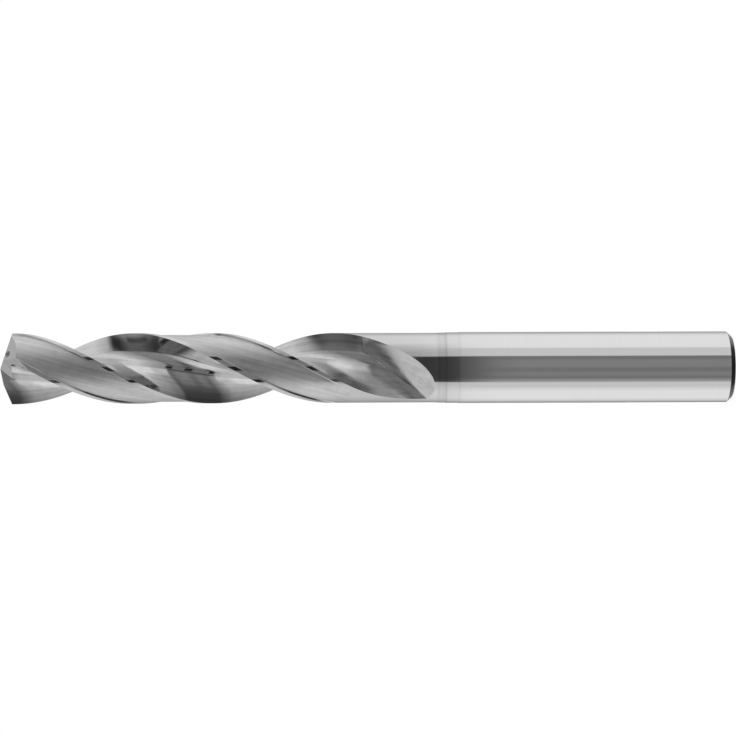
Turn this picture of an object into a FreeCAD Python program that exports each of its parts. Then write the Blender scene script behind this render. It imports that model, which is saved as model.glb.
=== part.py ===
"""Solid carbide twist drill with two flutes, double margins and coolant holes.

Millimetres. +Z runs along the axis from the flat shank end (z = 0) to the point,
and the two lips lie close to the X axis. Angles are in degrees.
"""
import FreeCAD
import Part
import Sketcher
import math
import os

from FreeCAD import Placement, Rotation, Vector

# Driving dimensions: alias, value, what it is
SIZES = [
    ("overall_length", 103.0, "shank end to point"),
    ("shank_diameter", 10.0, "clamped shank"),
    ("shank_length", 38.4, "length of the full shank diameter"),
    ("shank_chamfer", 0.7, "45 degree chamfer at the shank end"),
    ("step_length", 1.9, "short cone from the shank to the run-out of the step"),
    ("step_depth", 0.075, "radial drop over the short cone"),
    ("step_runout", 1.1, "length of the shallower cone down to the neck"),
    ("neck_diameter", 9.8, "plain neck behind the flutes"),
    ("neck_length", 4.4, "plain neck before the body's back taper starts"),
    ("tip_diameter", 10.0, "across the margins at the point"),
    ("relief_depth", 0.25, "land clearance below the margins"),
    ("relief_length", 46.2, "length of the full-depth clearance, from the point"),
    ("relief_fade", 3.0, "length in which the clearance comes to the surface"),
    ("lead_step", 5.94, "step behind the leading margin, angle at the point's height"),
    ("trail_step", -53.4, "step before the trailing margin, angle at the point's height"),
    ("flute_lead", 56.6, "axial length of one turn of the flutes"),
    ("flute_length", 54.27, "point to the last full-depth place of the flute"),
    ("flute_angle", 80.9, "deepest line of the flute, angle at the point's height"),
    ("core_diameter", 2.78, "web at the bottom of the flutes"),
    ("rake_arc", 7.07, "radius of the hollow wall under the lip"),
    ("heel_slope", 47.9, "slope of the straight wall on the heel side"),
    ("wheel_radius", 54.0, "grinding wheel that leaves the run-out"),
    ("wheel_angle", 38.0, "angle of the wheel's plane to the axis"),
    ("point_angle", 142.0, "included angle of the lips"),
    ("primary_relief", 9.0, "first clearance behind the lip"),
    ("primary_width", 1.4, "width of the first clearance"),
    ("secondary_relief", 35.0, "second clearance behind the lip"),
    ("thinned_web", 0.2, "web left between the two thinned lips"),
    ("thinned_lip_angle", 16.4, "thinned part of the lip, angle to the X axis"),
    ("thinned_lean", 14.6, "lean of the wall under the thinned lip, to the axis"),
    ("gash_angle", 37.9, "bottom line of the gash, angle in that wall to its steepest line"),
    ("gash_start", 0.17, "start of the gash's bottom line from the axis"),
    ("gash_depth", 0.14, "start of the gash's bottom line below the point"),
    ("gash_floor", 1.35, "width of the gash's floor"),
    ("gash_floor_angle", 138.0, "floor of the gash to the wall under the lip"),
    ("gash_back_angle", 119.0, "back of the gash to the wall under the lip"),
    ("coolant_diameter", 0.95, "each coolant hole"),
    ("coolant_circle", 5.8, "pitch circle of the coolant holes"),
    ("coolant_angle", -36.3, "coolant hole, angle at the point's height"),
]

# Room by which a cutter reaches past the surface it cuts
OVERRUN = 1.0
# Angle by which a margin strip runs on into the flute that trims it
STRIP_OVERRUN = 11.0
# Each feature of the fluted part is there twice, half a turn apart
FLUTES = 2
# Flat sides that stand for the round wall of a coolant hole
HOLE_SIDES = 12

doc = FreeCAD.newDocument("carbide_drill")
sheet = doc.addObject("Spreadsheet::Sheet", "Sizes")
for row, (alias, value, note) in enumerate(SIZES, start=1):
    sheet.set(f"A{row}", alias)
    sheet.set(f"B{row}", str(value))
    sheet.set(f"C{row}", note)
    sheet.setAlias(f"B{row}", alias)
doc.recompute()


def size(alias):
    """Value of one driving dimension."""
    return float(sheet.get(alias))


def cell(text):
    """Write an expression of <aliases> the way the document reads it."""
    return text.replace("<", "Sizes.").replace(">", "")


def evaluate(text):
    """Number that an expression of aliases stands for now."""
    return float(sheet.evalExpression(cell(text)))


body = doc.addObject("PartDesign::Body", "drill_bit")
body.Label = "drill_bit"


def origin_feature(role):
    """Plane or axis of the body's own origin."""
    return next(item for item in body.Origin.OriginFeatures if item.Role == role)


def new_sketch(name, plane, offset=None):
    """Sketch of the body on an origin plane, moved by an offset placement."""
    sketch = body.newObject("Sketcher::SketchObject", name)
    sketch.AttachmentSupport = [(origin_feature(plane), "")]
    sketch.MapMode = "FlatFace"
    if offset is not None:
        sketch.AttachmentOffset = offset
    return sketch


def pin_point(sketch, geometry, end, x_text, y_text):
    """Hold a point of the sketch at two expressions, measured from its origin."""
    for kind, text, axis in (("DistanceX", x_text, -2), ("DistanceY", y_text, -1)):
        value = evaluate(text)
        if abs(value) < 1e-9:
            sketch.addConstraint(Sketcher.Constraint("PointOnObject", geometry, end, axis))
        elif value > 0:
            index = sketch.addConstraint(Sketcher.Constraint(kind, -1, 1, geometry, end, value))
            sketch.setExpression(f"Constraints[{index}]", cell(text))
        else:
            index = sketch.addConstraint(Sketcher.Constraint(kind, geometry, end, -1, 1, -value))
            sketch.setExpression(f"Constraints[{index}]", f"-({cell(text)})")


def polygon(sketch, corners):
    """Closed outline of straight lines through corners given as expressions."""
    points = [Vector(evaluate(x), evaluate(y), 0) for x, y in corners]
    count = len(points)
    first = sketch.GeometryCount
    for i in range(count):
        sketch.addGeometry(Part.LineSegment(points[i], points[(i + 1) % count]))
    for i in range(count):
        following = first + (i + 1) % count
        sketch.addConstraint(Sketcher.Constraint("Coincident", first + i, 2, following, 1))
    for i, (x_text, y_text) in enumerate(corners):
        pin_point(sketch, first + i, 1, x_text, y_text)


def profile_feature(kind, name, sketch):
    """Feature of the body that is made from a sketch."""
    feature = body.newObject(f"PartDesign::{kind}", name)
    feature.Profile = sketch
    return feature


def bind(feature, **properties):
    """Bind properties of a feature to expressions of the sheet's cells."""
    for name, text in properties.items():
        feature.setExpression(name, cell(text))


def helix_feature(kind, name, sketch, height):
    """Sweep a sketch up the axis with the lead of the flutes, right-handed."""
    feature = profile_feature(kind, name, sketch)
    feature.ReferenceAxis = (origin_feature("Z_Axis"), [""])
    feature.Mode = "pitch-height-angle"
    feature.LeftHanded = False
    bind(feature, Pitch="<flute_lead>", Height=height)
    return feature


def repeat_around_axis(name, *features):
    """Copy features half a turn round the axis."""
    pattern = body.newObject("PartDesign::PolarPattern", name)
    pattern.Originals = list(features)
    pattern.Axis = (origin_feature("Z_Axis"), [""])
    pattern.Angle = 360
    pattern.Occurrences = FLUTES
    body.Tip = pattern
    return pattern


def unit(angle):
    """Horizontal unit vector at an angle to +X."""
    return Vector(math.cos(math.radians(angle)), math.sin(math.radians(angle)), 0)


def frame(origin, x_axis, y_axis):
    """Placement of a sketch from its origin and its two directions."""
    z_axis = x_axis.cross(y_axis)
    rotation = Rotation(x_axis, y_axis, z_axis, "ZXY")
    return Placement(origin, rotation)


def add_blank():
    """Turned blank: shank, step, neck, tapered body and the floor of the land clearance."""
    shank_top = "<shank_length>"
    neck_bottom = "<shank_length> + <step_length> + <step_runout>"
    neck_top = f"{neck_bottom} + <neck_length>"
    neck_radius = "<neck_diameter> / 2"
    tip_radius = "<tip_diameter> / 2"
    relief_end = "<overall_length> - <relief_length>"
    fade_end = f"{relief_end} - <relief_fade>"
    taper = f"(({tip_radius} - {neck_radius}) / (<overall_length> - ({neck_top})))"
    fade_radius = f"({neck_radius} + {taper} * ({fade_end} - ({neck_top})))"
    floor_radius = f"({neck_radius} + {taper} * ({relief_end} - ({neck_top})) - <relief_depth>)"
    sketch = new_sketch("blank_outline", "XZ_Plane")
    polygon(sketch, [
        ("0", "0"),
        ("<shank_diameter> / 2 - <shank_chamfer>", "0"),
        ("<shank_diameter> / 2", "<shank_chamfer>"),
        ("<shank_diameter> / 2", shank_top),
        ("<shank_diameter> / 2 - <step_depth>", f"{shank_top} + <step_length>"),
        (neck_radius, neck_bottom),
        (neck_radius, neck_top),
        (fade_radius, fade_end),
        (floor_radius, relief_end),
        (f"{tip_radius} - <relief_depth>", "<overall_length>"),
        ("0", "<overall_length>"),
    ])
    blank = profile_feature("Revolution", "blank", sketch)
    blank.ReferenceAxis = (sketch, ["V_Axis"])
    blank.Angle = 360


def arc_strip(sketch, inner, outer, start_angle, end_angle):
    """Closed sector of a ring between two radii and two angles."""
    centre = Vector(0, 0, 0)
    up = Vector(0, 0, 1)
    start = math.radians(start_angle)
    end = math.radians(end_angle)
    for radius in (inner, outer):
        circle = Part.Circle(centre, up, radius)
        sketch.addGeometry(Part.ArcOfCircle(circle, start, end))
    for angle in (start_angle, end_angle):
        sketch.addGeometry(Part.LineSegment(unit(angle) * inner, unit(angle) * outer))
    sketch.addConstraint([
        Sketcher.Constraint("Coincident", 0, 3, -1, 1),
        Sketcher.Constraint("Coincident", 1, 3, -1, 1),
        Sketcher.Constraint("Coincident", 2, 1, 0, 1),
        Sketcher.Constraint("Coincident", 2, 2, 1, 1),
        Sketcher.Constraint("Coincident", 3, 1, 0, 2),
        Sketcher.Constraint("Coincident", 3, 2, 1, 2),
    ])


def add_margins():
    """Two guiding strips on each land, trimmed to the back taper."""
    start_height = size("overall_length") - size("relief_length") - size("relief_fade") - OVERRUN
    turned_back = 360 * (size("overall_length") - start_height) / size("flute_lead")
    inner = size("tip_diameter") / 2 - 2 * size("relief_depth")
    outer = size("tip_diameter") / 2 + size("relief_depth")
    strips = []
    for name, low, high in (
        ("leading", size("lead_step"), size("lead_step") + STRIP_OVERRUN),
        ("trailing", size("trail_step") - STRIP_OVERRUN, size("trail_step")),
    ):
        place = Placement(Vector(0, 0, start_height), Rotation())
        sketch = new_sketch(f"{name}_margin_section", "XY_Plane", place)
        arc_strip(sketch, inner, outer, low - turned_back, high - turned_back)
        height = f"<relief_length> + <relief_fade> + {OVERRUN}"
        strips.append(helix_feature("AdditiveHelix", f"{name}_margin", sketch, height))
    repeat_around_axis("margins", *strips)


def trim_margins():
    """Grind the outside of the margins to the tapered body."""
    neck_top = "(<shank_length> + <step_length> + <step_runout> + <neck_length>)"
    neck_radius = "<neck_diameter> / 2"
    tip_radius = "<tip_diameter> / 2"
    low = f"(<overall_length> - <relief_length> - <relief_fade> - {2 * OVERRUN})"
    top = f"(<overall_length> + {OVERRUN})"
    taper = f"(({tip_radius} - {neck_radius}) / (<overall_length> - {neck_top}))"
    low_radius = f"({neck_radius} + {taper} * ({low} - {neck_top}))"
    top_radius = f"({neck_radius} + {taper} * ({top} - {neck_top}))"
    sketch = new_sketch("body_taper_outline", "XZ_Plane")
    polygon(sketch, [
        (low_radius, low),
        (f"<tip_diameter> / 2 + {OVERRUN}", low),
        (f"<tip_diameter> / 2 + {OVERRUN}", top),
        (top_radius, top),
    ])
    trim = profile_feature("Groove", "body_taper", sketch)
    trim.ReferenceAxis = (sketch, ["V_Axis"])
    trim.Angle = 360


def flute_sketch():
    """Profile that the wheel grinds, in the plane of the wheel's axis."""
    end_height = size("overall_length") - size("flute_length")
    end_angle = size("flute_angle") - 360 * size("flute_length") / size("flute_lead")
    outward = unit(end_angle)
    around = unit(end_angle + 90)
    tilt = math.radians(size("wheel_angle"))
    forward = around * math.sin(tilt) + Vector(0, 0, math.cos(tilt))
    across = outward.cross(forward)
    place = frame(Vector(0, 0, end_height), across, outward)
    sketch = new_sketch("flute_profile", "XY_Plane", place)

    core = size("core_diameter") / 2
    arc = size("rake_arc")
    top = size("tip_diameter") / 2 + 2 * OVERRUN
    rake_reach = size("tip_diameter") / 2 + OVERRUN / 2
    rake_turn = math.asin(rake_reach / arc)
    heel_reach = (top - core) / math.tan(math.radians(size("heel_slope")))
    centre = Vector(0, core + arc, 0)
    circle = Part.Circle(centre, Vector(0, 0, 1), arc)
    down = -math.pi / 2
    sketch.addGeometry(Part.ArcOfCircle(circle, down, down + rake_turn))
    rake_end = centre + Vector(math.sin(rake_turn), -math.cos(rake_turn), 0) * arc
    corners = [rake_end, Vector(rake_reach, top, 0), Vector(-heel_reach, top, 0), Vector(0, core, 0)]
    for begin, end in zip(corners, corners[1:]):
        sketch.addGeometry(Part.LineSegment(begin, end))
    sketch.addConstraint([
        Sketcher.Constraint("PointOnObject", 0, 3, -2),
        Sketcher.Constraint("Coincident", 0, 2, 1, 1),
        Sketcher.Constraint("Coincident", 1, 2, 2, 1),
        Sketcher.Constraint("Coincident", 2, 2, 3, 1),
        Sketcher.Constraint("Coincident", 3, 2, 0, 1),
        Sketcher.Constraint("Vertical", 1),
    ])
    pin_point(sketch, 0, 1, "0", "<core_diameter> / 2")
    radius = sketch.addConstraint(Sketcher.Constraint("Radius", 0, arc))
    sketch.setExpression(f"Constraints[{radius}]", cell("<rake_arc>"))
    reach = f"<tip_diameter> / 2 + {OVERRUN / 2}"
    height = f"<tip_diameter> / 2 + {2 * OVERRUN}"
    pin_point(sketch, 1, 2, reach, height)
    pin_point(sketch, 3, 1, f"-({height} - <core_diameter> / 2) / tan(<heel_slope> * 1 deg)", height)

    axis_height = core + size("wheel_radius")
    axis = Part.LineSegment(Vector(-OVERRUN, axis_height, 0), Vector(OVERRUN, axis_height, 0))
    line = sketch.addGeometry(axis, True)
    sketch.addConstraint(Sketcher.Constraint("Horizontal", line))
    pin_point(sketch, line, 1, f"-{OVERRUN}", "<core_diameter> / 2 + <wheel_radius>")
    return sketch


def add_flutes():
    """Helical flutes that end in the round run-out of the grinding wheel."""
    sketch = flute_sketch()
    flute = helix_feature("SubtractiveHelix", "flute", sketch, "<flute_length> + <tip_diameter> / 2")
    runout = profile_feature("Groove", "flute_runout", sketch)
    runout.ReferenceAxis = (sketch, ["Axis0"])
    rise = f"(<tip_diameter> / 2 + {OVERRUN} - <core_diameter> / 2)"
    bind(runout, Angle=f"acos(1 - {rise} / <wheel_radius>)")
    repeat_around_axis("flutes", flute, runout)


def add_point():
    """Two flat clearances behind each lip, ground along the lip."""
    half_angle = math.radians(size("point_angle") / 2)
    lip = Vector(math.sin(half_angle), 0, -math.cos(half_angle))
    place = frame(Vector(0, 0, size("overall_length")), Vector(0, 1, 0), Vector(0, 0, 1))
    sketch = new_sketch("point_profile", "XY_Plane", place)
    ahead = f"(<tip_diameter> / 2 + {OVERRUN})"
    behind = f"(<tip_diameter> / 2 + {OVERRUN})"
    primary = "tan(<primary_relief> * 1 deg)"
    secondary = "tan(<secondary_relief> * 1 deg)"
    above = "<tip_diameter> / 2"
    polygon(sketch, [
        (ahead, f"{ahead} * {primary}"),
        (ahead, above),
        (f"-{behind}", above),
        (f"-{behind}", f"-(<primary_width> * {primary} + ({behind} - <primary_width>) * {secondary})"),
        ("-<primary_width>", f"-<primary_width> * {primary}"),
    ])
    facet = profile_feature("Pocket", "point_clearance", sketch)
    facet.Type = "Length"
    facet.Midplane = True
    facet.UseCustomVector = True
    facet.Direction = lip
    facet.AlongSketchNormal = False
    bind(facet, Length="2 * <tip_diameter>")
    repeat_around_axis("point", facet)


def add_gashes():
    """Gash in front of each lip that thins the web."""
    upward = Vector(0, 0, 1)
    lip_way = unit(180 + size("thinned_lip_angle"))
    ahead = unit(size("thinned_lip_angle") - 90)
    lean = math.radians(size("thinned_lean"))
    slant = math.radians(size("gash_angle"))
    start = lip_way * size("gash_start") + ahead * (size("thinned_web") / 2)
    start.z = size("overall_length") - size("gash_depth")
    off_wall = ahead * math.cos(lean) + upward * math.sin(lean)
    wall_rise = upward * math.cos(lean) - ahead * math.sin(lean)
    up_wall = lip_way * math.cos(slant) + wall_rise * math.sin(slant)
    sketch = new_sketch("gash_profile", "XY_Plane", frame(start, off_wall, up_wall))
    reach = "<tip_diameter>"
    floor_x = "<gash_floor> * sin(<gash_floor_angle> * 1 deg)"
    floor_y = "<gash_floor> * cos(<gash_floor_angle> * 1 deg)"
    back_x = f"{floor_x} + {reach} * sin(<gash_back_angle> * 1 deg)"
    back_y = f"{floor_y} + {reach} * cos(<gash_back_angle> * 1 deg)"
    polygon(sketch, [("0", "0"), (floor_x, floor_y), (back_x, back_y), (back_x, reach), ("0", reach)])
    gash = profile_feature("Pocket", "gash", sketch)
    gash.Type = "Length"
    gash.Midplane = True
    bind(gash, Length="1.6 * <tip_diameter>")
    repeat_around_axis("gashes", gash)


def add_coolant_holes():
    """Two coolant holes that wind with the flutes from end to end."""
    start_height = -OVERRUN
    turned_back = 360 * (size("overall_length") - start_height) / size("flute_lead")
    turn_at_start = Rotation(Vector(0, 0, 1), size("coolant_angle") - turned_back)
    place = Placement(Vector(0, 0, start_height), turn_at_start)
    sketch = new_sketch("coolant_section", "XY_Plane", place)
    corners = []
    for i in range(HOLE_SIDES):
        turn = f"({360 * (i + 0.5) / HOLE_SIDES} * 1 deg)"
        corners.append((
            f"<coolant_circle> / 2 + <coolant_diameter> / 2 * cos{turn}",
            f"<coolant_diameter> / 2 * sin{turn}",
        ))
    polygon(sketch, corners)
    hole = helix_feature("SubtractiveHelix", "coolant_hole", sketch, f"<overall_length> + {2 * OVERRUN}")
    repeat_around_axis("coolant_holes", hole)


add_blank()
add_margins()
trim_margins()
add_flutes()
add_point()
add_gashes()
add_coolant_holes()
doc.recompute()

for item in doc.Objects:
    if "Invalid" in item.State or "Error" in item.State:
        raise RuntimeError(f"{item.Name} failed: {item.State}")
if body.Shape.isNull() or not body.Shape.isValid() or len(body.Shape.Solids) != 1:
    raise RuntimeError("drill_bit isn't one valid solid")

os.makedirs("parts", exist_ok=True)
body.Shape.exportStep(f"parts/{body.Label}.step")
print("drill_bit volume", round(body.Shape.Volume, 3), "mm3, box", body.Shape.BoundBox)
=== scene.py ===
"""Looks of the carbide drill bit: finely ground surfaces, soft studio light and the photograph's camera.

The drill is drawn again from the sizes of its solid, but fine enough for mirror-like reflections. Its
flutes are the real envelope of the grinding wheel, which gives them smooth bottoms and a round run-out.
Sizes in this script are millimetres until a mesh is made.
"""

import math

import bmesh
import bpy
import numpy as np
from mathutils import Matrix, Vector


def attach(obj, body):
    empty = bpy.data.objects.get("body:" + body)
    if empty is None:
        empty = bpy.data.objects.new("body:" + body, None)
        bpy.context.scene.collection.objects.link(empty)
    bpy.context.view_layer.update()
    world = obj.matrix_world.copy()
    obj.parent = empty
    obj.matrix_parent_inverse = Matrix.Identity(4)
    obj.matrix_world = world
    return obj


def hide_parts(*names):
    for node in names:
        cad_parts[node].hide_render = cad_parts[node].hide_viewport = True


MM = 0.001

LENGTH = 103.0
SHANK_RADIUS = 5.0
SHANK_LENGTH = 38.4
SHANK_CHAMFER = 0.7
STEP_LENGTH = 1.9
STEP_RUNOUT = 1.1
NECK_RADIUS = 4.9
NECK_LENGTH = 4.4
# Radii of the small steps by their height above the shank.
NECK_PROFILE = [(0, 4.97), (1.9, 4.966), (1.9, 4.931), (3.0, 4.929), (3.0, 4.9)]
SHANK_ROWS = (10, 20, 30)
TIP_RADIUS = 5.0
RELIEF_DEPTH = 0.25
RELIEF_LENGTH = 46.2
RELIEF_FADE = 3.0
SOFT_FADE = 7.0

# The helix, and the turns of the two margins' inner edges from it.
LEAD = 56.6
LEAD_STEP = 5.94
TRAIL_STEP = -53.4
STEP_WIDTH = 0.9

# The grinding wheel: its rim falls back by scale * (distance / reach) ** power on each side.
WHEEL_RADIUS = 57.73
WHEEL_TILT = 37.73
WEB_RADIUS = 1.425
WHEEL_END = 48.74
WHEEL_SIDE = -84.68
RAKE_DROP = (1.261, 4.0, 2.441)
HEEL_DROP = (3.087, 3.0, 0.959)
HEEL_EXTRA = (0.047, 1.5)
WHEEL_REACH = 22
WHEEL_PLACES = 221
SMALLEST_CORE = 1.0
FAR = 99
EDGE_SEARCH = (-110, 80)
EDGE_STEP = 0.25
RUNOUT_SEARCH = (36.0, 46.0)

LIP_SLOPE = 19.0
PRIMARY_RELIEF = 9.0
PRIMARY_WIDTH = 1.4
SECONDARY_RELIEF = 35.0
THINNED_WEB = 0.2
THINNED_LIP = 16.4
THINNED_LEAN = 14.6
GASH_ANGLE = 37.9
GASH_START = 0.17
GASH_DEPTH = 0.14
GASH_FLOOR = 1.35
GASH_FLOOR_ANGLE = 138.0
GASH_BACK_ANGLE = 119.0

COOLANT_RADIUS = 0.475
COOLANT_CIRCLE = 2.9
COOLANT_ANGLE = -36.3
COOLANT_SIDES = 24
COOLANT_ROW = 0.75

CUTTER_REACH = 9.0
GASH_HALF_WIDTH = 8

NECK_BOTTOM = SHANK_LENGTH + STEP_LENGTH + STEP_RUNOUT
NECK_TOP = NECK_BOTTOM + NECK_LENGTH
RELIEF_END = LENGTH - RELIEF_LENGTH
FADE_END = RELIEF_END - RELIEF_FADE
OVERRUN = 1.2

RUNOUT_ROWS = 70
BODY_ROW = 0.35
POINT_ROW = 0.4
RAKE_COLUMNS = 48
HEEL_COLUMNS = 34
MARGIN_COLUMNS = 7
LAND_COLUMNS = 26
SHARP_EDGE = 15

SHANK, MARGIN, LAND, FLUTE, POINT, HOLE = range(6)

# Name, roughness, twist of the grain in degrees per millimetre, depth of the grain, its density along
# each axis, and the darkest and palest grey.
GROUND_SURFACES = {
    SHANK: ("ground_shank", 0.035, 0.0, 0.00001, (30, 30, 900), (0.745, 0.765)),
    MARGIN: ("polished_margin", 0.06, 6.36, 0.0001, (700, 700, 20), (0.70, 0.80)),
    LAND: ("ground_land", 0.44, 3.5, 0.0080, (420, 420, 18), (0.58, 0.90)),
    FLUTE: ("polished_flute", 0.08, 6.36, 0.0035, (420, 420, 6), (0.54, 0.80)),
    POINT: ("ground_point", 0.22, 0.0, 0.0010, (260, 900, 260), (0.58, 0.70)),
    HOLE: ("coolant_bore", 0.45, 6.36, 0.0020, (300, 300, 60), (0.40, 0.60)),
}
# Heights between which the roughness goes from a multiple of its value to its full value.
FINISH_CHANGES = {
    LAND: (FADE_END, FADE_END + SOFT_FADE, 0.12),
    FLUTE: (54.0, 64.0, 2.4),
}
# Painted shade: darker rings painted into the shank's colour at the small steps, in place of their dark
# reflections, as shades by height.
PAINTED_SHADE_SPAN = 50
PAINTED_STEP_SHADES = [
    (38.15, 1), (38.35, 0.88), (38.55, 1),
    (40.0, 1), (40.2, 0.74), (40.4, 0.90),
    (41.05, 0.94), (41.3, 0.86), (41.5, 1),
]
STREAK_SCALE = 6.0
STREAK_DETAIL = 4.0
PATCH_SCALE = 900.0
PATCH_DETAIL = 3.0
STREAK_SHARE = 0.7
NOISE_LOW = 0.3
NOISE_HIGH = 0.7
ROUGH_SPREAD = 0.2

# Light of the bare tent by elevation.
TENT_LEVELS = [
    (-90, 0.01), (-60, 0.03), (-40, 0.06), (-25, 0.13), (-10, 0.2),
    (10, 0.22), (35, 0.3), (55, 0.4), (90, 0.5),
]
# Each card: the turns where it starts, becomes full, stops being full and ends, the same for its
# elevation, and its level. A later card covers the ones before it.
LIGHT_CARDS = {
    "left_low": ((-180, -110, -62, -34), (-55, -12, 9, 11), 0.66),
    "left_high": ((-170, -85, -45, -24), (9, 11, 20, 34), 0.8),
    "left_top": ((-175, -90, -80, -65), (30, 38, 55, 75), 0.75),
    "right_near": ((34, 42, 60, 80), (-55, -12, 60, 80), 0.4),
    "right_far": ((50, 90, 125, 180), (-55, -12, 60, 80), 0.8),
    "left_plate": ((-156, -120, -86, -66), (-14, -10, -3, -1), 0.95),
    "left_edge": ((-67, -65, -50, -48), (-14, -10, -3, -1), 0.7),
    "right_edge": ((36.5, 38.5, 58, 64), (-14, -10, -3, -1), 0.7),
    "right_plate": ((58, 70, 115, 156), (-14, -10, -3, -1), 0.95),
    "front_strip_left": ((-32, -24, -18, -10), (-30, -12, -4, -3), 0.25),
    "front_strip_right": ((-5, 4, 22, 29), (-30, -12, -4, -3), 0.26),
    "neck_shade": ((-49, -47, 35, 37), (-3.6, -1.9, -1.3, -0.7), 0.035),
    "post_left": ((-48, -47, -38, -37), (0, 0.3, 8.8, 9.1), 0.01),
    "post_middle_low": ((-9, -8, 5, 6), (0, 0.3, 4.5, 4.8), 0.01),
    "post_middle_high": ((-9, -8, 5, 6), (5.7, 5.9, 7.9, 8.1), 0.01),
    "post_right_low": ((27, 28, 38, 39), (0, 0.3, 4.5, 4.8), 0.01),
    "post_right_high": ((27, 28, 38, 39), (5.7, 5.9, 7.9, 8.1), 0.01),
    "front_shade": ((-26, -18, -14, -4), (9.5, 11.5, 14, 22), 0.09),
    "top_front": ((-75, -45, 35, 55), (33, 41, 46, 53), 0.13),
    "top_left_shade": ((-78, -52, -40, -5), (33, 40, 46, 51), 0.04),
    "top_right_shade": ((18, 40, 54, 66), (38, 43, 48, 50), 0.03),
    "top_rim_shade": ((-34, -25, 17, 25), (47, 48, 49.3, 50.3), 0.035),
}

FLOOR_RADIUS = 120
FLOOR_GREY = 0.85
FLOOR_SHINE = 0.7

CAMERA_DISTANCE = 295.0
CAMERA_HEIGHT = 51.13
CAMERA_SIDE = -0.02
CAMERA_LENS = 102.3
CAMERA_SLOPE = 0.003


def margin_radius(z):
    """Radius of the tapered body, which the margins keep."""
    taper = (TIP_RADIUS - NECK_RADIUS) / (LENGTH - NECK_TOP)
    return NECK_RADIUS + taper * np.maximum(z - NECK_TOP, 0)


def land_radius(z):
    """Radius of the cleared land between its margins."""
    share = np.clip((z - FADE_END) / SOFT_FADE, 0, 1)
    return margin_radius(z) - RELIEF_DEPTH * share * share * (3 - 2 * share)


def turned(z):
    """Turn of the helix in degrees at a height, zero at the point."""
    return 360 * (z - LENGTH) / LEAD


def wheel_drop(across):
    """How far the wheel's rim falls back at a distance from its middle plane."""
    scale, reach, power = RAKE_DROP
    rake = scale * np.abs(across / reach) ** power
    scale, reach, power = HEEL_DROP
    extra, start = HEEL_EXTRA
    heel = scale * np.abs(across / reach) ** power
    heel = heel + extra * np.maximum(np.abs(across) - start, 0) ** 2
    return np.where(across > 0, rake, heel)


def wheel_frame():
    """Outward, rolling and axle directions of the wheel, and its centre, in its last place."""
    side = math.radians(WHEEL_SIDE)
    tilt = math.radians(WHEEL_TILT)
    outward = np.array([math.cos(side), math.sin(side), 0])
    around = np.array([-math.sin(side), math.cos(side), 0])
    rolling = math.sin(tilt) * around + math.cos(tilt) * np.array([0, 0, 1])
    axle = np.cross(outward, rolling)
    centre = (WHEEL_RADIUS + WEB_RADIUS) * outward + np.array([0, 0, WHEEL_END])
    return outward, rolling, axle, centre


def wheel_gap(radius, angle, z):
    """Smallest gap between points of the body and the wheel in all its places. Negative is ground away."""
    axle, centre = wheel_frame()[2:]
    lift = np.linspace(-WHEEL_REACH, WHEEL_REACH, WHEEL_PLACES)
    lift = np.maximum(z[..., None] - WHEEL_END + lift, 0)
    turn = np.radians(angle[..., None] - 360 * lift / LEAD)
    x = radius[..., None] * np.cos(turn) - centre[0]
    y = radius[..., None] * np.sin(turn) - centre[1]
    up = z[..., None] - lift - centre[2]
    across = x * axle[0] + y * axle[1] + up * axle[2]
    reach = np.sqrt(x * x + y * y + up * up - across * across)
    gap = (reach - WHEEL_RADIUS + wheel_drop(across)).min(axis=-1)
    before = across[..., :-1]
    after = across[..., 1:]
    crossing = before * after < 0
    share = np.where(crossing, before / np.where(crossing, before - after, 1), 0)
    rim = reach[..., :-1] * (1 - share) + reach[..., 1:] * share - WHEEL_RADIUS
    rim = np.where(crossing, rim, FAR).min(axis=-1)
    return np.minimum(gap, rim)


def flute_depth(angle, z, outer):
    """Radius of the flute's surface along rays from the axis."""
    low = np.full(angle.shape, SMALLEST_CORE)
    high = np.broadcast_to(outer, angle.shape).copy()
    for _ in range(15):
        middle = (low + high) / 2
        ground = wheel_gap(middle, angle, z) < 0
        high = np.where(ground, middle, high)
        low = np.where(ground, low, middle)
    return high


def flute_edges(z):
    """Angles where the flute's two sides reach the body's surface at one height."""
    angles = WHEEL_SIDE + 360 * (z - WHEEL_END) / LEAD + np.arange(*EDGE_SEARCH, EDGE_STEP)
    heights = np.full(angles.shape, z)
    gap = wheel_gap(np.full(angles.shape, float(margin_radius(z))), angles, heights)
    inside = np.nonzero(gap < 0)[0]
    if not len(inside):
        return None
    first = inside[0]
    last = inside[-1]
    rake = angles[first] - EDGE_STEP * gap[first] / (gap[first] - gap[first - 1])
    heel = angles[last] + EDGE_STEP * gap[last] / (gap[last] - gap[last + 1])
    return rake, heel


def flute_end():
    """Lowest height that the flute reaches on the surface."""
    low, high = RUNOUT_SEARCH
    for _ in range(16):
        middle = (low + high) / 2
        if flute_edges(middle) is None:
            low = middle
        else:
            high = middle
    return high


def valley_angle(z):
    """Angle of the flute's deepest line, which follows the wheel's rim in the run-out."""
    if z >= WHEEL_END:
        return WHEEL_SIDE + 360 * (z - WHEEL_END) / LEAD
    outward, rolling, _, centre = wheel_frame()
    sine = (z - WHEEL_END) / (WHEEL_RADIUS * rolling[2])
    cosine = math.sqrt(1 - sine * sine)
    point = centre + WHEEL_RADIUS * (sine * rolling - cosine * outward)
    angle = math.degrees(math.atan2(point[1], point[0]))
    return WHEEL_SIDE + (angle - WHEEL_SIDE + 180) % 360 - 180


def spread(start, end, count):
    """Evenly spaced angles from start up to but without the end."""
    return start + (end - start) * np.arange(count) / count


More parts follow.
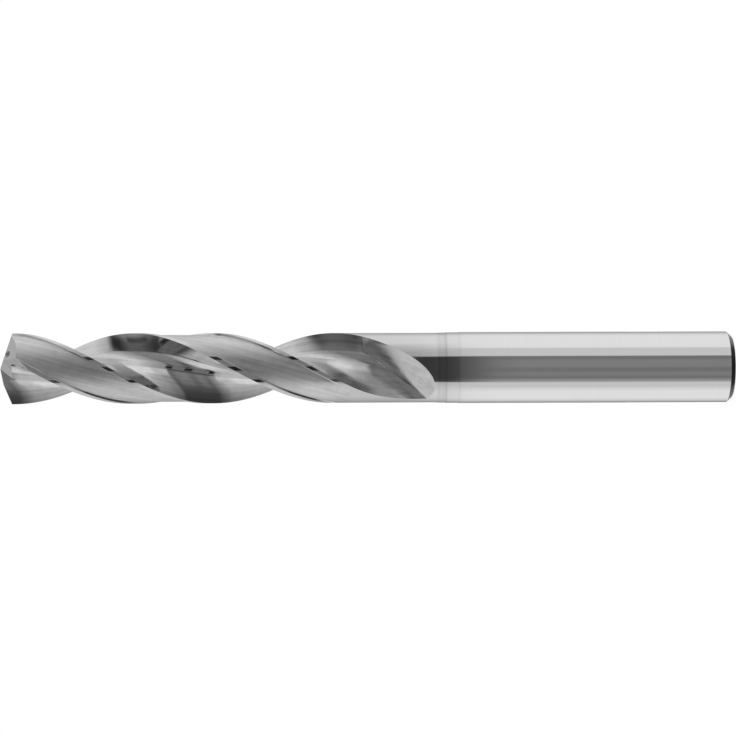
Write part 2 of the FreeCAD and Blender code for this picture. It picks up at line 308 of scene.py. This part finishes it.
def land_angles(z, heel, rake):
    """Angles of the columns on one land, from the heel's edge to the next lip's edge."""
    trail = TRAIL_STEP + 360 + turned(z)
    lead = LEAD_STEP + 360 + turned(z)
    return np.concatenate([
        spread(heel, trail - STEP_WIDTH, MARGIN_COLUMNS),
        spread(trail - STEP_WIDTH, trail + STEP_WIDTH, 1),
        spread(trail + STEP_WIDTH, lead - STEP_WIDTH, LAND_COLUMNS),
        spread(lead - STEP_WIDTH, lead + STEP_WIDTH, 1),
        spread(lead + STEP_WIDTH, rake + 180, MARGIN_COLUMNS),
    ])


def column_kinds():
    """Surface that each column's strip belongs to, once round half the drill."""
    flute = [FLUTE] * (RAKE_COLUMNS + HEEL_COLUMNS)
    land = [MARGIN] * (MARGIN_COLUMNS + 1) + [LAND] * LAND_COLUMNS + [MARGIN] * (MARGIN_COLUMNS + 1)
    return flute + land


def fluted_rows():
    """Angles and radii of the columns over half a turn, row by row up the fluted body."""
    end = flute_end()
    steady = WHEEL_END + WHEEL_REACH
    low = end + (FADE_END - end) * (np.arange(1, RUNOUT_ROWS + 1) / RUNOUT_ROWS) ** 2
    middle = np.arange(FADE_END + BODY_ROW, steady, BODY_ROW)
    high = np.arange(steady, LENGTH + OVERRUN + 0.3, POINT_ROW)
    marks = np.array([NECK_TOP, RELIEF_END])
    heights = np.sort(np.concatenate([low, middle, high, marks]))
    shape = None
    rows = []
    for z in heights:
        outer = float(margin_radius(z))
        if shape is None:
            rake, heel = flute_edges(z)
            valley = min(max(valley_angle(z), rake), heel)
            angles = np.concatenate([
                spread(rake, valley, RAKE_COLUMNS),
                spread(valley, heel, HEEL_COLUMNS),
            ])
            depth = flute_depth(angles, np.full(angles.shape, z), outer)
            if z > steady:
                shape = (rake - turned(z), heel - turned(z), angles - turned(z), depth)
        else:
            rake = shape[0] + turned(z)
            heel = shape[1] + turned(z)
            angles = shape[2] + turned(z)
            depth = np.minimum(shape[3], outer)
        depth[0] = outer
        land = land_angles(z, heel, rake)
        radii = np.full(land.shape, outer)
        first = MARGIN_COLUMNS + 1
        radii[first:first + LAND_COLUMNS + 1] = land_radius(z)
        rows.append((z, np.concatenate([angles, land]), np.concatenate([depth, radii])))
    return end, rows


def plain_rows(end, angles):
    """Rows of the shank, the small steps and the plain part of the neck."""
    profile = [(0, SHANK_RADIUS - SHANK_CHAMFER), (SHANK_CHAMFER, SHANK_RADIUS)]
    profile += [(z, SHANK_RADIUS) for z in (*SHANK_ROWS, SHANK_LENGTH)]
    profile += [(SHANK_LENGTH + rise, radius) for rise, radius in NECK_PROFILE]
    profile.append((end - 0.02, NECK_RADIUS))
    return [(z, angles, np.full(angles.shape, radius)) for z, radius in profile]


def drill_body():
    """The whole ground rod, a little too long, as one closed mesh."""
    end, fluted = fluted_rows()
    columns = len(fluted[0][1])
    rows = plain_rows(end, fluted[0][1]) + fluted
    points = []
    for z, angles, radii in rows:
        for half in (0, 180):
            turn = np.radians(angles + half)
            level = np.full(columns, z)
            points.append(np.stack([radii * np.cos(turn), radii * np.sin(turn), level], axis=-1))
    points = np.concatenate(points).tolist()
    around = 2 * columns
    kinds = column_kinds() * 2
    faces = []
    surfaces = []
    for row in range(len(rows) - 1):
        plain = rows[row + 1][0] < end
        for column in range(around):
            beside = (column + 1) % around
            low = row * around
            faces.append((low + column, low + beside, low + around + beside, low + around + column))
            turned_only = plain or (kinds[column] != FLUTE and rows[row][0] < FADE_END)
            surfaces.append(SHANK if turned_only else kinds[column])
    top_row = (len(rows) - 1) * around
    points += [[0, 0, 0], [0, 0, rows[-1][0]]]
    for column in range(around):
        beside = (column + 1) % around
        faces.append((beside, column, len(points) - 2))
        faces.append((top_row + column, top_row + beside, len(points) - 1))
        surfaces += [SHANK, POINT]
    return make_object("drill", points, faces, surfaces)


def make_object(name, points, faces, surfaces):
    """Mesh object from points in millimetres, without doubled points or empty faces."""
    mesh = bpy.data.meshes.new(name)
    mesh.from_pydata([[value * MM for value in point] for point in points], [], faces)
    mesh.polygons.foreach_set("material_index", surfaces)
    piece = bpy.data.objects.new(name, mesh)
    bpy.context.scene.collection.objects.link(piece)
    form = bmesh.new()
    form.from_mesh(mesh)
    bmesh.ops.remove_doubles(form, verts=form.verts, dist=1e-7)
    bmesh.ops.dissolve_degenerate(form, edges=form.edges, dist=1e-7)
    bmesh.ops.recalc_face_normals(form, faces=form.faces)
    form.to_mesh(mesh)
    form.free()
    return piece


def prism(name, base, along, surface):
    """Solid between a flat outline and its copy moved along a direction."""
    count = len(base)
    points = [list(point) for point in base] + [list(point + along) for point in base]
    faces = [tuple(reversed(range(count))), tuple(range(count, 2 * count))]
    for index in range(count):
        beside = (index + 1) % count
        faces.append((index, beside, count + beside, count + index))
    return make_object(name, points, faces, [surface] * len(faces))


def slope(angle):
    """Rise over run of an angle in degrees."""
    return math.tan(math.radians(angle))


def point_cutter():
    """Everything above one lip's two clearance faces."""
    reach = CUTTER_REACH
    break_height = LENGTH - PRIMARY_WIDTH * slope(PRIMARY_RELIEF)
    low_height = break_height - (reach - PRIMARY_WIDTH) * slope(SECONDARY_RELIEF)
    outline = [
        (-reach, low_height),
        (-PRIMARY_WIDTH, break_height),
        (reach, LENGTH + reach * slope(PRIMARY_RELIEF)),
        (reach, LENGTH + 3 * reach),
        (-reach, LENGTH + 3 * reach),
    ]
    tilt = reach * slope(LIP_SLOPE)
    base = [Vector((-reach, y, z + tilt)) for y, z in outline]
    return prism("point_cutter", base, Vector((2 * reach, 0, -2 * tilt)), POINT)


def gash_cutter():
    """The gash that thins the web in front of one lip."""
    upward = Vector((0, 0, 1))
    lip = math.radians(180 + THINNED_LIP)
    lip_way = Vector((math.cos(lip), math.sin(lip), 0))
    ahead = Vector((math.cos(lip + math.pi / 2), math.sin(lip + math.pi / 2), 0))
    lean = math.radians(THINNED_LEAN)
    slant = math.radians(GASH_ANGLE)
    start = lip_way * GASH_START + ahead * (THINNED_WEB / 2)
    start.z = LENGTH - GASH_DEPTH
    off_wall = ahead * math.cos(lean) + upward * math.sin(lean)
    wall_rise = upward * math.cos(lean) - ahead * math.sin(lean)
    up_wall = lip_way * math.cos(slant) + wall_rise * math.sin(slant)
    sideways = off_wall.cross(up_wall)
    reach = CUTTER_REACH
    floor_angle = math.radians(GASH_FLOOR_ANGLE)
    floor_x = GASH_FLOOR * math.sin(floor_angle)
    floor_y = GASH_FLOOR * math.cos(floor_angle)
    back_y = floor_y + (reach - floor_x) / slope(GASH_BACK_ANGLE)
    outline = [(0, 0), (floor_x, floor_y), (reach, back_y), (reach, reach), (0, reach)]
    back = sideways * GASH_HALF_WIDTH
    base = [start + off_wall * x + up_wall * y - back for x, y in outline]
    return prism("gash_cutter", base, back * 2, POINT)


def coolant_cutter():
    """Twisted hole along the whole drill."""
    sides = COOLANT_SIDES
    heights = np.arange(-1.0, LENGTH + 1.5, COOLANT_ROW)
    points = []
    for z in heights:
        middle = math.radians(COOLANT_ANGLE + turned(z))
        for side in range(sides):
            turn = middle + 2 * math.pi * side / sides
            x = COOLANT_CIRCLE * math.cos(middle) + COOLANT_RADIUS * math.cos(turn)
            y = COOLANT_CIRCLE * math.sin(middle) + COOLANT_RADIUS * math.sin(turn)
            points.append([x, y, z])
    faces = [tuple(reversed(range(sides))), tuple(range(len(points) - sides, len(points)))]
    for row in range(len(heights) - 1):
        for side in range(sides):
            low = row * sides
            beside = (side + 1) % sides
            faces.append((low + side, low + beside, low + sides + beside, low + sides + side))
    return make_object("coolant_cutter", points, faces, [HOLE] * len(faces))


def cut(piece, cutter, turn=0):
    """Take a cutter away from a piece, turned round the axis."""
    cutter.matrix_world = Matrix.Rotation(math.radians(turn), 4, "Z")
    modifier = piece.modifiers.new("cut", "BOOLEAN")
    modifier.operation = "DIFFERENCE"
    modifier.solver = "EXACT"
    modifier.object = cutter
    bpy.context.view_layer.update()
    done = bpy.data.meshes.new_from_object(piece.evaluated_get(bpy.context.evaluated_depsgraph_get()))
    piece.modifiers.remove(modifier)
    old = piece.data
    piece.data = done
    bpy.data.meshes.remove(old)


def round_neck(mesh):
    """Give the plain neck round the run-outs the normals of a true cylinder."""
    normals = []
    for face in mesh.polygons:
        plain = face.material_index == SHANK and face.center.z > NECK_BOTTOM * MM
        for corner in face.vertices:
            place = mesh.vertices[corner].co
            outward = Vector((place.x, place.y, 0)).normalized()
            normals.append(outward if plain else Vector((0, 0, 0)))
    mesh.normals_split_custom_set(normals)


def ground_drill():
    """The drill with its point, gashes and coolant holes."""
    piece = drill_body()
    for make in (point_cutter, gash_cutter, coolant_cutter):
        cutter = make()
        for turn in (0, 180):
            cut(piece, cutter, turn)
        bpy.data.objects.remove(cutter)
    mesh = piece.data
    mesh.shade_smooth()
    mesh.set_sharp_from_angle(angle=math.radians(SHARP_EDGE))
    round_neck(mesh)
    return piece


class Nodes:
    """Short way to write a node tree: each call adds one node and joins its inputs."""

    def __init__(self, tree):
        self.tree = tree
        tree.nodes.clear()

    def add(self, kind, inputs=(), **settings):
        """Add a node. An input is a plain value or the output of another node."""
        node = self.tree.nodes.new(kind)
        for name, value in settings.items():
            setattr(node, name, value)
        for key, value in dict(inputs).items():
            if isinstance(value, bpy.types.NodeSocket):
                self.tree.links.new(value, node.inputs[key])
            else:
                node.inputs[key].default_value = value
        return node

    def math(self, operation, first, second=0.0):
        """Output of a calculation with one or two values."""
        return self.add("ShaderNodeMath", {0: first, 1: second}, operation=operation).outputs[0]

    def ramp(self, value, stops):
        """Grey ramp through (place, level) stops."""
        node = self.add("ShaderNodeValToRGB", {0: value})
        ramp = node.color_ramp
        while len(ramp.elements) < len(stops):
            ramp.elements.new(0.5)
        for element, (place, level) in zip(ramp.elements, stops):
            element.position = place
            element.color = (level, level, level, 1)
        return node.outputs[0]


def ground_carbide(surface):
    """Bare ground carbide with its grinding marks along the path of the wheel, and on the shank painted
    shade at the small steps.
    """
    name, roughness, twist, relief, grain, tones = GROUND_SURFACES[surface]
    material = bpy.data.materials.new(name)
    material.use_nodes = True
    nodes = Nodes(material.node_tree)
    place = nodes.add("ShaderNodeTexCoord").outputs["Object"]
    height = nodes.add("ShaderNodeSeparateXYZ", {0: place}).outputs["Z"]
    turn = nodes.math("MULTIPLY", height, -math.radians(twist * 1000))
    settings = {"Vector": place, "Angle": turn}
    untwisted = nodes.add("ShaderNodeVectorRotate", settings, rotation_type="Z_AXIS").outputs[0]
    along = nodes.add("ShaderNodeMapping", {"Vector": untwisted, "Scale": grain}).outputs[0]
    streak_inputs = {"Vector": along, "Scale": STREAK_SCALE, "Detail": STREAK_DETAIL}
    streaks = nodes.add("ShaderNodeTexNoise", streak_inputs).outputs[0]
    patch_inputs = {"Vector": place, "Scale": PATCH_SCALE, "Detail": PATCH_DETAIL}
    patches = nodes.add("ShaderNodeTexNoise", patch_inputs).outputs[0]
    both = nodes.math(
        "ADD",
        nodes.math("MULTIPLY", streaks, STREAK_SHARE),
        nodes.math("MULTIPLY", patches, 1 - STREAK_SHARE),
    )
    color = nodes.ramp(both, [(NOISE_LOW, tones[0]), (NOISE_HIGH, tones[1])])
    if surface == SHANK:
        # Painted shade: darker rings at the small steps, multiplied into the shank's colour.
        shade_place = nodes.math("MULTIPLY", height, 1 / (PAINTED_SHADE_SPAN * MM))
        step_shade_ramp = nodes.ramp(shade_place, [(ring / PAINTED_SHADE_SPAN, shade) for ring, shade in PAINTED_STEP_SHADES])
        shade_inputs = {0: 1.0, 1: color, 2: step_shade_ramp}
        color = nodes.add("ShaderNodeMixRGB", shade_inputs, blend_type="MULTIPLY").outputs[0]
    rough = nodes.add("ShaderNodeMapRange", {
        "Value": both,
        "From Min": NOISE_LOW,
        "From Max": NOISE_HIGH,
        "To Min": roughness * (1 - ROUGH_SPREAD),
        "To Max": roughness * (1 + ROUGH_SPREAD),
    }).outputs[0]
    strength = 1.0
    if surface in FINISH_CHANGES:
        low, high, factor = FINISH_CHANGES[surface]
        change = nodes.add("ShaderNodeMapRange", {
            "Value": height,
            "From Min": low * MM,
            "From Max": high * MM,
            "To Min": factor,
            "To Max": 1.0,
        }).outputs[0]
        rough = nodes.math("MULTIPLY", rough, change)
        strength = nodes.math("MINIMUM", change, 1.0)
    bump = nodes.add("ShaderNodeBump", {
        "Height": streaks,
        "Strength": strength,
        "Distance": relief * MM,
    }).outputs[0]
    shader = nodes.add("ShaderNodeBsdfPrincipled", {
        "Base Color": color,
        "Metallic": 1.0,
        "Roughness": rough,
        "Normal": bump,
    })
    nodes.add("ShaderNodeOutputMaterial", {"Surface": shader.outputs[0]})
    return material


def studio_light():
    """Light tent round the drill: pale cards at both sides and dark cards towards the camera.

    A place in the tent is its turn round +Z from the camera's side and its elevation, in degrees.
    """
    world = bpy.data.worlds.new("studio")
    bpy.context.scene.world = world
    world.use_nodes = True
    nodes = Nodes(world.node_tree)
    way = nodes.add("ShaderNodeTexCoord").outputs["Generated"]
    parts = nodes.add("ShaderNodeSeparateXYZ", {0: way}).outputs
    angle = nodes.math("ARCTAN2", parts["X"], nodes.math("MULTIPLY", parts["Y"], -1.0))
    turn = nodes.math("ADD", nodes.math("DIVIDE", angle, 2 * math.pi), 0.5)
    rise = nodes.math("ADD", nodes.math("DIVIDE", nodes.math("ARCSINE", parts["Z"]), math.pi), 0.5)
    level = nodes.ramp(rise, [(height / 180 + 0.5, bare) for height, bare in TENT_LEVELS])
    for turns, heights, card_level in LIGHT_CARDS.values():
        across = nodes.ramp(turn, [(place / 360 + 0.5, on) for place, on in zip(turns, (0, 1, 1, 0))])
        upward = nodes.ramp(rise, [(place / 180 + 0.5, on) for place, on in zip(heights, (0, 1, 1, 0))])
        cover = nodes.math("MULTIPLY", across, upward)
        card = (card_level, card_level, card_level, 1)
        level = nodes.add("ShaderNodeMixRGB", {0: cover, 1: level, 2: card}).outputs[0]
    camera = nodes.add("ShaderNodeLightPath").outputs["Is Camera Ray"]
    strength = nodes.math("MAXIMUM", level, camera)
    light = nodes.add("ShaderNodeBackground", {"Color": (1, 1, 1, 1), "Strength": strength})
    nodes.add("ShaderNodeOutputWorld", {"Surface": light.outputs[0]})


def add_floor():
    """Pale round table top under the standing drill."""
    form = bmesh.new()
    bmesh.ops.create_circle(form, cap_ends=True, segments=96, radius=FLOOR_RADIUS * MM)
    mesh = bpy.data.meshes.new("floor")
    form.to_mesh(mesh)
    form.free()
    floor = bpy.data.objects.new("floor", mesh)
    bpy.context.scene.collection.objects.link(floor)
    material = bpy.data.materials.new("pale_floor")
    material.use_nodes = True
    nodes = Nodes(material.node_tree)
    matt = nodes.add("ShaderNodeBsdfDiffuse", {"Color": (FLOOR_GREY, FLOOR_GREY, FLOOR_GREY, 1)}).outputs[0]
    rays = nodes.add("ShaderNodeLightPath").outputs
    shine = nodes.math("MULTIPLY", rays["Is Camera Ray"], FLOOR_SHINE)
    white = nodes.add("ShaderNodeEmission", {"Strength": shine}).outputs[0]
    table = nodes.add("ShaderNodeAddShader", {0: matt, 1: white}).outputs[0]
    clear = nodes.add("ShaderNodeBsdfTransparent").outputs[0]
    both = nodes.add("ShaderNodeMixShader", {0: rays["Is Glossy Ray"], 1: table, 2: clear}).outputs[0]
    nodes.add("ShaderNodeOutputMaterial", {"Surface": both})
    mesh.materials.append(material)


def add_camera():
    """Camera of the photograph, which looks along +Y with the point of the drill on the left."""
    data = bpy.data.cameras.new("photo_camera")
    data.lens = CAMERA_LENS
    data.sensor_width = 36.0
    data.clip_start = 0.01
    camera = bpy.data.objects.new("photo_camera", data)
    right = Vector((-CAMERA_SLOPE, 0, -1)).normalized()
    back = Vector((0, -1, 0))
    up = back.cross(right)
    turn = Matrix((right, up, back)).transposed().to_4x4()
    place = Vector((CAMERA_SIDE, -CAMERA_DISTANCE, CAMERA_HEIGHT)) * MM
    camera.matrix_world = Matrix.Translation(place) @ turn
    bpy.context.scene.collection.objects.link(camera)
    bpy.context.scene.camera = camera


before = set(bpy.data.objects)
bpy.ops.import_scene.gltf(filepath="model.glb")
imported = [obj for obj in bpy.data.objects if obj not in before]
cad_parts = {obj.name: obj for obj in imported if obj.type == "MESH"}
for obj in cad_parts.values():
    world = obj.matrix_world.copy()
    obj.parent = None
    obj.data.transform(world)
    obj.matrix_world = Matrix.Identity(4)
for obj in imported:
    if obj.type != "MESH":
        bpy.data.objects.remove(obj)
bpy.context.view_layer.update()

drill = ground_drill()
for surface in sorted(GROUND_SURFACES):
    drill.data.materials.append(ground_carbide(surface))
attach(drill, "root")
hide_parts("drill_bit")

studio_light()
add_floor()
add_camera()
bpy.context.scene.view_settings.view_transform = "Standard"
